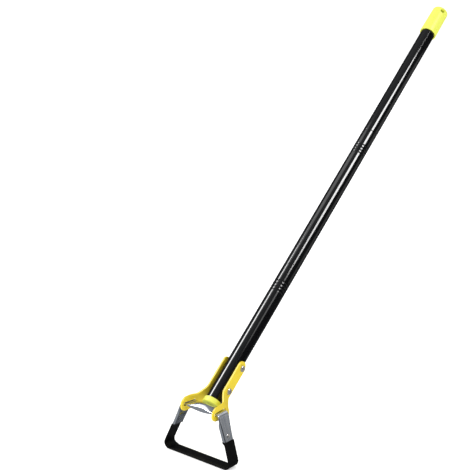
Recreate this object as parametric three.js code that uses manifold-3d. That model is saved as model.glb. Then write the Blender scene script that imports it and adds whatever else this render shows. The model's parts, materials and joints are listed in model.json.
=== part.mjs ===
// Stirrup hoe: a loop-shaped blade that rocks in two slotted bracket plates,
// bolted to a handle made of three screwed-together steel tubes.
// Millimetres, +Z up. The blade's underside lies on Z = 0, centred on the origin,
// X runs across the blade and the handle rises towards +Y.
import * as THREE from 'three';
import { mergeVertices } from 'three/addons/utils/BufferGeometryUtils.js';
import { ParametricGeometry } from 'three/addons/geometries/ParametricGeometry.js';
import Module from 'manifold-3d';

const wasm = await Module();
wasm.setup();

// ---------------------------------------------------------------- driving dimensions
const GAP = 0.3; // left between pieces that touch

// handle
const HANDLE_TILT = THREE.MathUtils.degToRad(48); // from vertical, towards +Y
const HANDLE_FOOT = new THREE.Vector3(0, 18.7, 78.6); // point on the handle axis, station 0
const TUBE_R = 12.5;
const TUBE_WALL = 1.2;
const TUBE_BORE_R = TUBE_R - TUBE_WALL;
const TUBE_START = -1.9; // stations are distances along the handle axis
const SEAMS = [255, 548.5];
const TUBE_END = 838;
const CRIMP_COUNT = 4;
const CRIMP_PITCH = 5.8;
const CRIMP_BELOW_SEAM = 42;
const CRIMP_WIDTH = 2.4;
const CRIMP_DEPTH = 0.55;

// threaded inserts inside each tube joint
const INSERT_R = TUBE_BORE_R - GAP;
const SOCKET_LENGTH = 60;
const SOCKET_BORE_R = 8.4;
const SOCKET_BORE_DEPTH = 30;
const SOCKET_BACK_BORE_R = 6;
const STUD_R = 8;
const STUD_LENGTH = 26;
const STUD_BODY_LENGTH = 40;
const STUD_BORE_R = 3.5;
const STUD_RELIEF = 1; // plain stretch between the thread and the shoulder
const THREAD_PITCH = 3;
const THREAD_DEPTH = 0.9;

// plastic end caps
const CAP_RIM = 799;
const CAP_END = 858.5;
const CAP_RIM_R = 14.9;
const CAP_RIM_CHAMFER = 0.4;
const CAP_TIP_R = 14.2;
const CAP_FLAT_R = 11.7;
const CAP_ROUND = 2.5; // length of the rounded tip
const CAP_BORE_R = TUBE_R + GAP;
const CAP_CAVITY_END = 844;
const CAP_CAVITY_R = CAP_BORE_R - 2.3;
const HANG_HOLE_R = 4;
const HANG_HOLE_FROM_END = 7.6;
const HANG_HOLE_CLOCK = THREE.MathUtils.degToRad(-47);
const FOOT_CAP_R = 13.9;
const FOOT_CAP_START = -4.2;
const FOOT_CAP_TOP = 3.8;
const FOOT_CAP_CHAMFER = 0.5;
const SPIGOT_END = 16;
const SPIGOT_BORE_R = 9.2;

// bracket plates
const PLATE_T = 2.5;
const PLATE_INNER_X = TUBE_R + GAP;
const FOOT_INNER_X = 26.3;
const PLATE_HALF_W = 10.2;
const PLATE_OFFSET = -1; // plate centre line from the handle axis, towards the upper side
const PLATE_TOP = 76.2; // station of the plate's round end
const PLATE_END_R = PLATE_HALF_W - 0.01;
const FLARE_FROM = 20; // stations between which the plate flares outwards
const FLARE_TO = -8.5;
const FLARE_PULL = 6; // how far each end of the flare runs on straight before it bends
const THROAT_R = 5; // between the shank's upper edge and the foot
const FOOT_TOP_Z = 88.1;
const FOOT_FRONT_Y = -19.3;
const FOOT_FRONT_BOTTOM_Z = 67.3;
const FOOT_FRONT_R = 10.2;
const HEEL_Y = 29;
const HEEL_Z = 65.8;
const HEEL_R = 7;
const HEEL_NECK_STATION = 4; // where the shank's lower edge turns down into the heel
const HEEL_NECK_R = 6;
const SLOT_LENGTH = 28.8;
const SLOT_HEIGHT = 5.8;
const SLOT_CORNER_R = 2;
const BOLT_STATIONS = { lower: 25, upper: 66 };

// fasteners
const BOLT_R = 2.4;
const BOLT_HOLE_R = BOLT_R + GAP;
const BOLT_CHAMFER = 0.5;
const BOLT_HEAD_R = 5;
const BOLT_HEAD_H = 3.4;
const BOLT_HEAD_RIM = 0.6; // height of the head's straight edge
const WASHER_R = 5;
const WASHER_T = 0.8;
const NUT_FLATS = 8;
const NUT_T = 3;
const BOLT_TAIL = 0.3; // thread showing past the nut

// stirrup strap and blade
const STRAP_T = 2.2;
const STRAP_TOP_Z = 78.5;
const STRAP_FLAT_HALF_W = 12.1;
const STRAP_ARM_HALF_W = 10.6;
const STRAP_ARM_DEPTH = 4.6; // web and turned-in flanges together
const STRAP_BEND_R = 8;
const CROWN_H = 4.6;
const CROWN_SPAN = 22; // half the length of the crowned stretch between the plates
const CROWN_NARROWING = 1.1; // taken off each side at the middle of the crowned stretch
const CROWN_DROP = 3; // how far the crowned stretch's edges hang below the flat strap
const CHANNEL_FROM = 40; // distance from the crossbar's middle where the arms' flanges start
const CHANNEL_TO = 50;
const EDGE_DROP_FLAT = 0.4; // how far the outer face falls off at its long edges
const EDGE_DROP_FORMED = 1.3;
const INNER_EDGE_DROP = 0.6;
const HOLLOW_CLEARANCE = 0.05; // keeps the hollowing cut off the flat stretches
const HOLLOW_REACH = 3; // how far that cut runs out below the flanges
const TAPER_TO = 74; // distance at which the arms reach their narrow width
const STRAP_STATIONS = 52;
const STRAP_OVERRUN = 3; // run past each end before the ends are cut level
const TOP_STEPS = 10;
const BOTTOM_STEPS = 4;
const ARM_BASE_X = 62.6; // outer face of each arm at Z = 0
const ARM_SLOPE = 0.373; // inward lean of the arms per unit of height
const BLADE_T = 2.4;
const BLADE_W = 22.5;
const BLADE_CORNER_R = 9;
const BLADE_PROUD = 0.2; // the blade's arms stand this far out of the strap's face
const BEVEL_W = 5;
const BEVEL_EDGE_T = 0.7;
const BEVEL_HALF_LENGTH = 52;
const TONGUE_W = 14;
const SHOULDER_Z = 40; // top of the blade's full width, just under the strap's ends
const SHOULDER_R = 1.5;
const LAP_FROM_Z = 35; // the tongue's lap joint on the inner side of the blade's arm
const LAP_TO_Z = 38.5;
const TONGUE_TOP_Z = 54;
const STRAP_END_Z = SHOULDER_Z + GAP;
const RIVET_Z = 47;
const RIVET_R = 1.7;
const RIVET_HEAD_R = 3;
const RIVET_HEAD_H = 0.9;
const RIVET_BACK_H = 0.5;

const ROUND_SEGMENTS = 30;
const SMALL_SEGMENTS = 18;
const PRESS_STEPS = 12; // steps round the plates' flare
const PRESS_REACH = 60; // how far the bent sheet runs past the foot before it is trimmed
const CUT = 20; // how far cutting tools run past the material

// ---------------------------------------------------------------- materials
const MATERIALS = {
  blackCoat: { color: 0x17181b, roughness: 0.25, metalness: 0.3 },
  yellowCoat: { color: 0xe8cf3a, roughness: 0.45, metalness: 0.1 },
  lemonPlastic: { color: 0xf2f765, roughness: 0.5, metalness: 0 },
  zinc: { color: 0xb9bec6, roughness: 0.35, metalness: 0.9 },
  bladeBlack: { color: 0x101114, roughness: 0.55, metalness: 0.3 },
  steel: { color: 0xc9ccd1, roughness: 0.25, metalness: 1 },
  castMetal: { color: 0x9aa0a6, roughness: 0.5, metalness: 0.9 },
};

// ---------------------------------------------------------------- geometry helpers
const point = (x, y) => new THREE.Vector2(x, y);

// Triangles of a closed geometry, shared vertices merged, no zero-area faces, facing out.
function closedTriangles(geometry) {
  const bare = geometry.clone();
  bare.deleteAttribute('normal');
  bare.deleteAttribute('uv');
  const merged = mergeVertices(bare, 1e-4);
  const place = merged.getAttribute('position');
  const kept = [];
  let volume = 0;
  const [a, b, c] = [new THREE.Vector3(), new THREE.Vector3(), new THREE.Vector3()];
  for (let i = 0; i < merged.index.count; i += 3) {
    const [ia, ib, ic] = [0, 1, 2].map((k) => merged.index.getX(i + k));
    if (ia === ib || ib === ic || ic === ia) continue;
    kept.push(ia, ib, ic);
    a.fromBufferAttribute(place, ia);
    b.fromBufferAttribute(place, ib);
    c.fromBufferAttribute(place, ic);
    volume += a.dot(b.cross(c));
  }
  if (volume < 0) kept.reverse();
  return { vertProperties: new Float32Array(place.array), triVerts: new Uint32Array(kept) };
}

function solid(geometry) {
  return new wasm.Manifold(new wasm.Mesh({ numProp: 3, ...closedTriangles(geometry) }));
}

function geometryOf(manifold) {
  const mesh = manifold.getMesh();
  const geometry = new THREE.BufferGeometry();
  geometry.setAttribute('position', new THREE.BufferAttribute(mesh.vertProperties, 3));
  geometry.setIndex(new THREE.BufferAttribute(mesh.triVerts, 1));
  geometry.computeVertexNormals();
  return geometry;
}

function piece(name, material, shape) {
  const geometry = geometryOf(shape instanceof THREE.BufferGeometry ? solid(shape) : shape);
  const mesh = new THREE.Mesh(geometry, new THREE.MeshStandardMaterial(MATERIALS[material]));
  mesh.name = name;
  return mesh;
}

// A profile of [radius, height] pairs revolved about +Z.
function revolved(profile, segments = ROUND_SEGMENTS) {
  const points = profile.map(([r, h]) => point(r, h));
  return new THREE.LatheGeometry(points, segments).rotateX(Math.PI / 2);
}

// A ring-shaped profile closes on itself.
const revolvedRing = (profile, segments) => revolved([...profile, profile[0]], segments);

// A round cutter of the given radius, centred on the origin and lying along X.
function crossDrill(radius, length) {
  const drill = new THREE.CylinderGeometry(radius, radius, length, SMALL_SEGMENTS);
  return drill.rotateZ(Math.PI / 2);
}

// A path through [x, y, fillet radius] corners; straight between them, round at them.
function roundedPath(corners, closed, path = new THREE.Path()) {
  const count = corners.length;
  const at = (i) => point(...corners[(i + count) % count].slice(0, 2));
  corners.forEach(([x, y, radius = 0], i) => {
    const corner = point(x, y);
    const open = !closed && (i === 0 || i === count - 1);
    if (open || radius === 0) {
      if (i === 0) path.moveTo(x, y);
      else path.lineTo(x, y);
      return;
    }
    const into = corner.clone().sub(at(i - 1)).normalize();
    const out = at(i + 1).sub(corner).normalize();
    const turn = Math.atan2(into.cross(out), into.dot(out));
    const reach = radius * Math.tan(Math.abs(turn) / 2);
    const start = corner.clone().addScaledVector(into, -reach);
    const side = Math.sign(turn);
    const centre = start.clone().add(point(-into.y, into.x).multiplyScalar(radius * side));
    const from = Math.atan2(start.y - centre.y, start.x - centre.x);
    if (i === 0) path.moveTo(start.x, start.y);
    else path.lineTo(start.x, start.y);
    path.absarc(centre.x, centre.y, radius, from, from + turn, side < 0);
  });
  if (closed) path.closePath();
  return path;
}

const roundedShape = (corners) => roundedPath(corners, true, new THREE.Shape());

// A shape that follows a path with the given thickness, half on each side.
function bandShape(path, thickness, divisions) {
  const sides = [[], []];
  for (const p of path.getPoints(divisions)) {
    const last = sides[0].at(-1);
    if (!last || last.centre.distanceTo(p) > 0.05) sides.forEach((side) => side.push({ centre: p }));
  }
  const centres = sides[0].map((entry) => entry.centre);
  const offsets = centres.map((p, i) => {
    const before = centres[Math.max(i - 1, 0)];
    const after = centres[Math.min(i + 1, centres.length - 1)];
    const into = p.clone().sub(before).normalize();
    const out = after.clone().sub(p).normalize();
    const along = into.add(out).normalize();
    return point(-along.y, along.x).multiplyScalar(thickness / 2);
  });
  const left = centres.map((p, i) => p.clone().add(offsets[i]));
  const right = centres.map((p, i) => p.clone().sub(offsets[i])).reverse();
  return new THREE.Shape([...left, ...right]);
}

const AXIS_X = new THREE.Vector3(1, 0, 0);
const AXIS_Y = new THREE.Vector3(0, 1, 0);
const AXIS_Z = new THREE.Vector3(0, 0, 1);

// Front-view outline (X, Z) given depth along Y, centred on Y = 0.
function extrudeAlongY(shape, depth, curveSegments = 6) {
  const geometry = new THREE.ExtrudeGeometry(shape, { depth, curveSegments, bevelEnabled: false });
  const turn = new THREE.Matrix4().makeBasis(AXIS_X, AXIS_Z, AXIS_Y.clone().negate());
  return geometry.applyMatrix4(turn).translate(0, depth / 2, 0);
}

// Side-view outline (Y, Z) given width along X, starting at the given X.
function extrudeAlongX(shape, fromX, width, curveSegments = 6) {
  const geometry = new THREE.ExtrudeGeometry(shape, {
    depth: width,
    curveSegments,
    bevelEnabled: false,
  });
  const turn = new THREE.Matrix4().makeBasis(AXIS_Y, AXIS_Z, AXIS_X);
  return geometry.applyMatrix4(turn).translate(fromX, 0, 0);
}

// Handle frame: Z along the handle axis, X across, Y towards its lower side.
const HANDLE_MATRIX = new THREE.Matrix4()
  .makeRotationX(-HANDLE_TILT)
  .setPosition(HANDLE_FOOT);

// Side-view place of a point given by its station and its distance below the handle axis.
function sidePlace(station, below) {
  const p = new THREE.Vector3(0, below, station).applyMatrix4(HANDLE_MATRIX);
  return [p.y, p.z];
}

// ---------------------------------------------------------------- handle tubes
function crimpProfile(seam) {
  const profile = [];
  for (let i = 0; i < CRIMP_COUNT; i += 1) {
    const centre = seam - CRIMP_BELOW_SEAM + (i - (CRIMP_COUNT - 1) / 2) * CRIMP_PITCH;
    profile.push([TUBE_R, centre - CRIMP_WIDTH / 2]);
    profile.push([TUBE_R - CRIMP_DEPTH, centre - CRIMP_WIDTH / 5]);
    profile.push([TUBE_R - CRIMP_DEPTH, centre + CRIMP_WIDTH / 5]);
    profile.push([TUBE_R, centre + CRIMP_WIDTH / 2]);
  }
  return profile;
}

function tubeSection(from, to, crimps = []) {
  return revolvedRing([
    [TUBE_BORE_R, to],
    [TUBE_BORE_R, from],
    [TUBE_R, from],
    ...crimps,
    [TUBE_R, to],
  ]);
}

function bottomTube() {
  let tube = solid(tubeSection(TUBE_START, SEAMS[0] - GAP / 2, crimpProfile(SEAMS[0])));
  for (const station of Object.values(BOLT_STATIONS)) {
    const drill = crossDrill(BOLT_HOLE_R, 2 * (TUBE_R + CUT)).translate(0, 0, station);
    tube = tube.subtract(solid(drill));
  }
  return tube;
}

function middleTube() {
  return tubeSection(SEAMS[0] + GAP / 2, SEAMS[1] - GAP / 2, crimpProfile(SEAMS[1]));
}

const topTube = () => tubeSection(SEAMS[1] + GAP / 2, TUBE_END);

// ---------------------------------------------------------------- threaded inserts
function socketInsert(seam) {
  const mouth = seam - GAP / 2;
  const back = seam - SOCKET_LENGTH;
  const step = mouth - SOCKET_BORE_DEPTH;
  return revolvedRing([
    [SOCKET_BORE_R, mouth],
    [SOCKET_BORE_R, step],
    [SOCKET_BACK_BORE_R, step],
    [SOCKET_BACK_BORE_R, back],
    [INSERT_R, back],
    [INSERT_R, mouth],
  ]);
}

function studInsert(seam) {
  const shoulder = seam + GAP / 2;
  const tip = seam - STUD_LENGTH;
  const turns = Math.floor((STUD_LENGTH - 2 * STUD_RELIEF) / THREAD_PITCH);
  const thread = [];
  for (let i = 0; i < turns; i += 1) {
    const root = tip + (i + 0.5) * THREAD_PITCH;
    thread.push([STUD_R - THREAD_DEPTH, root], [STUD_R, root + THREAD_PITCH / 2]);
  }
  return revolvedRing(
    [
      [STUD_BORE_R, shoulder + STUD_BODY_LENGTH],
      [STUD_BORE_R, tip],
      [STUD_R - THREAD_DEPTH, tip],
      ...thread,
      [STUD_R - THREAD_DEPTH, shoulder - STUD_RELIEF],
      [STUD_R - THREAD_DEPTH, shoulder],
      [INSERT_R, shoulder],
      [INSERT_R, shoulder + STUD_BODY_LENGTH],
    ],
    SMALL_SEGMENTS,
  );
}

// ---------------------------------------------------------------- end caps
function topCap() {
  const roundedTip = [0, 1, 2, 3].map((i) => {
    const angle = (i / 3) * (Math.PI / 2);
    const out = (CAP_TIP_R - CAP_FLAT_R) * Math.sin(angle);
    return [CAP_FLAT_R + out, CAP_END - CAP_ROUND * (1 - Math.cos(angle))];
  });
  const cap = revolved([
    [0, CAP_END],
    ...roundedTip,
    [CAP_RIM_R, CAP_RIM + 2 * CAP_RIM_CHAMFER],
    [CAP_RIM_R - CAP_RIM_CHAMFER, CAP_RIM],
    [CAP_BORE_R, CAP_RIM],
    [CAP_BORE_R, TUBE_END + GAP],
    [CAP_CAVITY_R, TUBE_END + GAP],
    [CAP_CAVITY_R, CAP_CAVITY_END],
    [0, CAP_CAVITY_END],
  ]);
  const drill = crossDrill(HANG_HOLE_R, 2 * (CAP_RIM_R + CUT))
    .rotateZ(HANG_HOLE_CLOCK)
    .translate(0, 0, CAP_END - HANG_HOLE_FROM_END);
  return solid(cap).subtract(solid(drill));
}

function bottomCap() {
  const floor = TUBE_START - GAP;
  return revolved([
    [0, FOOT_CAP_START],
    [FOOT_CAP_R - 2 * FOOT_CAP_CHAMFER, FOOT_CAP_START],
    [FOOT_CAP_R, FOOT_CAP_START + 2 * FOOT_CAP_CHAMFER],
    [FOOT_CAP_R, FOOT_CAP_TOP - FOOT_CAP_CHAMFER],
    [FOOT_CAP_R - FOOT_CAP_CHAMFER, FOOT_CAP_TOP],
    [CAP_BORE_R, FOOT_CAP_TOP],
    [CAP_BORE_R, floor],
    [INSERT_R, floor],
    [INSERT_R, SPIGOT_END],
    [SPIGOT_BORE_R, SPIGOT_END],
    [SPIGOT_BORE_R, floor],
    [0, floor],
  ]);
}

// ---------------------------------------------------------------- bracket plates
// Side view: a straight shank with a round top, turning into a long foot that holds the slot.
function plateOutline() {
  const front = PLATE_OFFSET - PLATE_HALF_W;
  const rear = PLATE_OFFSET + PLATE_HALF_W;
  const throatStation = (FOOT_TOP_Z - sidePlace(0, front)[1]) / Math.cos(HANDLE_TILT);
  return roundedShape([
    [...sidePlace(PLATE_TOP, front), PLATE_END_R],
    [...sidePlace(throatStation, front), THROAT_R],
    [FOOT_FRONT_Y, FOOT_TOP_Z, FOOT_FRONT_R],
    [FOOT_FRONT_Y, FOOT_FRONT_BOTTOM_Z, FOOT_FRONT_R],
    [HEEL_Y, HEEL_Z, HEEL_R],
    [...sidePlace(HEEL_NECK_STATION, rear), HEEL_NECK_R],
    [...sidePlace(PLATE_TOP, rear), PLATE_END_R],
  ]);
}

// Front view along the handle: flat against the tube, then an S-bend out to the foot.
function platePress() {
  const nearX = PLATE_INNER_X + PLATE_T / 2;
  const farX = FOOT_INNER_X + PLATE_T / 2;
  const line = new THREE.Path();
  line.moveTo(nearX, PLATE_TOP + CUT);
  line.lineTo(nearX, FLARE_FROM);
  line.bezierCurveTo(nearX, FLARE_FROM - FLARE_PULL, farX, FLARE_TO + FLARE_PULL, farX, FLARE_TO);
  line.lineTo(farX, -PRESS_REACH);
  const sheet = bandShape(line, PLATE_T, PRESS_STEPS);
  return extrudeAlongY(sheet, 2 * PRESS_REACH).applyMatrix4(HANDLE_MATRIX);
}

function strapSlot() {
  const half = SLOT_LENGTH / 2;
  const middle = STRAP_TOP_Z - STRAP_T / 2;
  const low = middle - SLOT_HEIGHT / 2;
  const high = middle + SLOT_HEIGHT / 2;
  const outline = roundedShape([
    [-half, low, SLOT_CORNER_R],
    [half, low, SLOT_CORNER_R],
    [half, high, SLOT_CORNER_R],
    [-half, high, SLOT_CORNER_R],
  ]);
  return extrudeAlongX(outline, 0, FOOT_INNER_X + CUT, 3);
}

function rightPlate() {
  const blank = solid(extrudeAlongX(plateOutline(), 0, FOOT_INNER_X + CUT, 10));
  let plate = blank.intersect(solid(platePress())).subtract(solid(strapSlot()));
  for (const station of Object.values(BOLT_STATIONS)) {
    const drill = crossDrill(BOLT_HOLE_R, 2 * (TUBE_R + CUT)).translate(0, 0, station);
    plate = plate.subtract(solid(drill.applyMatrix4(HANDLE_MATRIX)));
  }
  return plate;
}

// ---------------------------------------------------------------- bolts, washers, nuts
const PLATE_OUTER_X = PLATE_INNER_X + PLATE_T;
const WASHER_FACE_X = PLATE_OUTER_X + GAP;
const NUT_FACE_X = WASHER_FACE_X + WASHER_T + GAP;
const BOLT_END_X = NUT_FACE_X + NUT_T + BOLT_TAIL;

function domedBolt() {
  const seat = PLATE_OUTER_X + GAP;
  const rise = BOLT_HEAD_H - BOLT_HEAD_RIM;
  const dome = [0, 1, 2, 3, 4].map((i) => {
    const angle = (i / 5) * (Math.PI / 2);
    return [BOLT_HEAD_R * Math.cos(angle), seat + BOLT_HEAD_RIM + rise * Math.sin(angle)];
  });
  const bolt = revolved(
    [
      [0, -BOLT_END_X],
      [BOLT_R - BOLT_CHAMFER, -BOLT_END_X],
      [BOLT_R, -BOLT_END_X + BOLT_CHAMFER],
      [BOLT_R, seat],
      [BOLT_HEAD_R, seat],
      ...dome,
      [0, seat + BOLT_HEAD_H],
    ],
    SMALL_SEGMENTS,
  );
  return bolt.rotateY(Math.PI / 2);
}

function washer() {
  const ring = revolvedRing(
    [
      [BOLT_HOLE_R, 0],
      [WASHER_R, 0],
      [WASHER_R, WASHER_T],
      [BOLT_HOLE_R, WASHER_T],
    ],
    SMALL_SEGMENTS,
  );
  return ring.rotateY(-Math.PI / 2).translate(-WASHER_FACE_X, 0, 0);
}

function hexNut() {
  const hex = new THREE.CylinderGeometry(NUT_FLATS / Math.sqrt(3), NUT_FLATS / Math.sqrt(3), NUT_T, 6);
  hex.rotateZ(Math.PI / 2).translate(-NUT_FACE_X - NUT_T / 2, 0, 0);
  return solid(hex).subtract(solid(crossDrill(BOLT_HOLE_R, 4 * CUT)));
}

// ---------------------------------------------------------------- stirrup strap
// Front view of the strap's outer face: up one arm, across, and down the other.
const armX = (z) => ARM_BASE_X - ARM_SLOPE * z;
const ARM_LEAN = Math.atan(ARM_SLOPE);

const STRAP_PATH = roundedPath([
  [-armX(STRAP_END_Z), STRAP_END_Z],
  [-armX(STRAP_TOP_Z), STRAP_TOP_Z, STRAP_BEND_R],
  [armX(STRAP_TOP_Z), STRAP_TOP_Z, STRAP_BEND_R],
  [armX(STRAP_END_Z), STRAP_END_Z],
]);

// Section of the strap at a distance from the middle of the crossbar: flat through the
// slots and round the bends, crowned between the plates, a shallow channel down the arms.
function strapSection(distance) {
  const crown = Math.max(0, 1 - (distance / CROWN_SPAN) ** 2);
  const channel = THREE.MathUtils.smoothstep(distance, CHANNEL_FROM, CHANNEL_TO);
  const taper = THREE.MathUtils.smoothstep(distance, CHANNEL_FROM, TAPER_TO);
  const narrowing = CROWN_NARROWING * crown + (STRAP_FLAT_HALF_W - STRAP_ARM_HALF_W) * taper;
  return {
    halfWidth: STRAP_FLAT_HALF_W - narrowing,
    depth: STRAP_T + CROWN_DROP * crown + (STRAP_ARM_DEPTH - STRAP_T) * channel,
    crown: CROWN_H * crown,
    edgeRound: EDGE_DROP_FLAT + EDGE_DROP_FORMED * Math.max(channel, crown),
  };
}

// One strap-shaped body swept along the path; both ends close to a point on their face.
function strapSweep(overrun, outline) {
  const length = STRAP_PATH.getLength();
  const ring = TOP_STEPS + BOTTOM_STEPS + 2;
  const place = (u, v, target) => {
    const i = Math.round(u * STRAP_STATIONS);
    const t = THREE.MathUtils.clamp((i - 1) / (STRAP_STATIONS - 2), 0, 1);
    const end = i === 0 || i === STRAP_STATIONS;
    const p = STRAP_PATH.getPointAt(t);
    const along = STRAP_PATH.getTangentAt(t);
    if (t === 0) p.addScaledVector(along, -overrun);
    if (t === 1) p.addScaledVector(along, overrun);
    const section = strapSection(Math.abs(t - 0.5) * length);
    const j = Math.round(v * ring) % ring;
    const [y, rise] = end ? [0, -section.depth / 2] : outline(section, j);
    target.set(p.x - along.y * rise, y, p.y + along.x * rise);
  };
  return new ParametricGeometry(place, STRAP_STATIONS, ring);
}

function strapOutside(section, j) {
  const { halfWidth, depth, crown, edgeRound } = section;
  if (j > TOP_STEPS) return [halfWidth * (1 - (j - TOP_STEPS - 1) / (BOTTOM_STEPS / 2)), -depth];
  const across = -Math.cos((Math.PI * j) / TOP_STEPS);
  const lift = crown * (1 - across ** 2) - edgeRound * Math.abs(across) ** 8;
  return [halfWidth * across, lift];
}

function strapInside(section, j) {
  const { halfWidth, depth, crown } = section;
  const innerHalf = halfWidth - STRAP_T;
  if (j > TOP_STEPS) {
    return [innerHalf * (1 - (j - TOP_STEPS - 1) / (BOTTOM_STEPS / 2)), -depth - HOLLOW_REACH];
  }
  const across = -Math.cos((Math.PI * j) / TOP_STEPS);
  const lift = crown * (1 - across ** 2) - INNER_EDGE_DROP * Math.abs(across) ** 8;
  return [innerHalf * across, lift - STRAP_T - HOLLOW_CLEARANCE];
}

function stirrupFrame() {
  const outside = solid(strapSweep(STRAP_OVERRUN, strapOutside));
  const inside = solid(strapSweep(2 * STRAP_OVERRUN, strapInside));
  const below = roundedShape([
    [-ARM_BASE_X, 0],
    [ARM_BASE_X, 0],
    [ARM_BASE_X, STRAP_END_Z],
    [-ARM_BASE_X, STRAP_END_Z],
  ]);
  let frame = outside.subtract(inside).subtract(solid(extrudeAlongY(below, 2 * CUT)));
  for (const side of [-1, 1]) frame = frame.subtract(rivetDrill(side));
  return frame;
}

// ---------------------------------------------------------------- blade
// Front view of the blade's centre line, up both arms and past the shoulders.
function bladePath() {
  const inset = (BLADE_T / 2 - BLADE_PROUD) / Math.cos(ARM_LEAN);
  const centre = (z) => armX(z) - inset;
  const half = [
    [centre(BLADE_T / 2), BLADE_T / 2, BLADE_CORNER_R - BLADE_T / 2],
    [centre(TONGUE_TOP_Z), TONGUE_TOP_Z],
  ];
  const mirrored = half.map(([x, z, r = 0]) => [-x, z, r]).reverse();
  return roundedPath([...mirrored, ...half]);
}

// Front view of one tongue: it laps over the inner side of the blade's arm and stands up
// behind the strap.
function tongueShape(side) {
  const place = (inset, z) => point(side * (armX(z) - inset / Math.cos(ARM_LEAN)), z);
  const front = STRAP_T + GAP;
  return new THREE.Shape([
    place(BLADE_T / 2, LAP_FROM_Z),
    place(BLADE_T / 2, SHOULDER_Z),
    place(front, SHOULDER_Z),
    place(front, TONGUE_TOP_Z),
    place(front + BLADE_T, TONGUE_TOP_Z),
    place(front + BLADE_T, LAP_TO_Z),
    place(BLADE_T - BLADE_PROUD, LAP_FROM_Z),
  ]);
}

// Side view: full width below the shoulders, narrow tongues above them.
function bladeSideOutline() {
  const half = BLADE_W / 2;
  return roundedShape([
    [-half, -CUT],
    [half, -CUT],
    [half, SHOULDER_Z, SHOULDER_R],
    [TONGUE_W / 2, SHOULDER_Z],
    [TONGUE_W / 2, TONGUE_TOP_Z + CUT],
    [-TONGUE_W / 2, TONGUE_TOP_Z + CUT],
    [-TONGUE_W / 2, SHOULDER_Z],
    [-half, SHOULDER_Z, SHOULDER_R],
  ]);
}

function bevelCutter(side) {
  const edge = (side * BLADE_W) / 2;
  const shape = new THREE.Shape([
    point(edge + side, BEVEL_EDGE_T - (BLADE_T - BEVEL_EDGE_T) / BEVEL_W),
    point(edge + side, BLADE_T + 1),
    point(edge - side * BEVEL_W, BLADE_T + 1),
    point(edge - side * BEVEL_W, BLADE_T),
  ]);
  return extrudeAlongX(shape, -BEVEL_HALF_LENGTH, 2 * BEVEL_HALF_LENGTH);
}

function blade() {
  const reach = ARM_BASE_X + CUT;
  const above = new THREE.Shape([
    point(-reach, SHOULDER_Z),
    point(reach, SHOULDER_Z),
    point(reach, TONGUE_TOP_Z + CUT),
    point(-reach, TONGUE_TOP_Z + CUT),
  ]);
  let band = solid(extrudeAlongY(bandShape(bladePath(), BLADE_T, 8), BLADE_W));
  band = band.subtract(solid(extrudeAlongY(above, 2 * BLADE_W)));
  for (const side of [-1, 1]) band = band.add(solid(extrudeAlongY(tongueShape(side), BLADE_W)));
  let cut = band.intersect(solid(extrudeAlongX(bladeSideOutline(), -reach, 2 * reach)));
  for (const side of [-1, 1]) cut = cut.subtract(solid(bevelCutter(side))).subtract(rivetDrill(side));
  return cut;
}

// ---------------------------------------------------------------- rivets
// Places something drawn along +X on the outer face of one arm, at the rivet's height.
function onArm(geometry, side) {
  geometry.rotateY(-ARM_LEAN).translate(armX(RIVET_Z), 0, RIVET_Z);
  return side > 0 ? geometry : geometry.rotateZ(Math.PI);
}

function rivetDrill(side) {
  return solid(onArm(crossDrill(RIVET_R + GAP, CUT), side));
}

function rivetDome(base) {
  return [1, 2].map((i) => {
    const angle = (i / 3) * (Math.PI / 2);
    return [RIVET_HEAD_R * Math.cos(angle), base + RIVET_HEAD_H * Math.sin(angle)];
  });
}

function rivet(side) {
  const outer = GAP;
  const inner = -(STRAP_T + GAP + BLADE_T + GAP);
  const body = revolved(
    [
      [0, inner - RIVET_BACK_H],
      [RIVET_HEAD_R - RIVET_BACK_H, inner - RIVET_BACK_H],
      [RIVET_HEAD_R, inner],
      [RIVET_R, inner],
      [RIVET_R, outer],
      [RIVET_HEAD_R, outer],
      ...rivetDome(outer),
      [0, outer + RIVET_HEAD_H],
    ],
    SMALL_SEGMENTS,
  );
  return onArm(body.rotateY(Math.PI / 2), side);
}

// ---------------------------------------------------------------- assembly
const hoe = new THREE.Group();

const handle = new THREE.Group();
handle.position.copy(HANDLE_FOOT);
handle.rotation.x = -HANDLE_TILT;
handle.add(
  piece('bottom_tube', 'blackCoat', bottomTube()),
  piece('middle_tube', 'blackCoat', middleTube()),
  piece('top_tube', 'blackCoat', topTube()),
  piece('lower_socket_insert', 'castMetal', socketInsert(SEAMS[0])),
  piece('lower_stud_insert', 'castMetal', studInsert(SEAMS[0])),
  piece('upper_socket_insert', 'castMetal', socketInsert(SEAMS[1])),
  piece('upper_stud_insert', 'castMetal', studInsert(SEAMS[1])),
  piece('top_cap', 'lemonPlastic', topCap()),
  piece('bottom_cap', 'lemonPlastic', bottomCap()),
);
for (const [name, station] of Object.entries(BOLT_STATIONS)) {
  const set = new THREE.Group();
  set.position.z = station;
  set.add(
    piece(`${name}_bolt`, 'steel', domedBolt()),
    piece(`${name}_washer`, 'steel', washer()),
    piece(`${name}_nut`, 'steel', hexNut()),
  );
  handle.add(set);
}

const plate = rightPlate();
const stirrup = new THREE.Group();
stirrup.add(
  piece('stirrup_frame', 'zinc', stirrupFrame()),
  piece('blade', 'bladeBlack', blade()),
  piece('left_rivet', 'steel', rivet(-1)),
  piece('right_rivet', 'steel', rivet(1)),
);

hoe.add(
  handle,
  piece('right_bracket_plate', 'yellowCoat', plate),
  piece('left_bracket_plate', 'yellowCoat', plate.mirror([1, 0, 0])),
  stirrup,
);

export default hoe;
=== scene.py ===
"""Stirrup hoe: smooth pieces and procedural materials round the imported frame.

Metres, +Z up. The blade's underside lies on Z = 0 and the handle rises towards +Y.
Profiles are written in millimetres, in the handle's own frame or in the row frame.
"""

import json
import math

import bmesh
import bpy
from mathutils import Matrix, Vector
from mathutils.geometry import delaunay_2d_cdt


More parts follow.
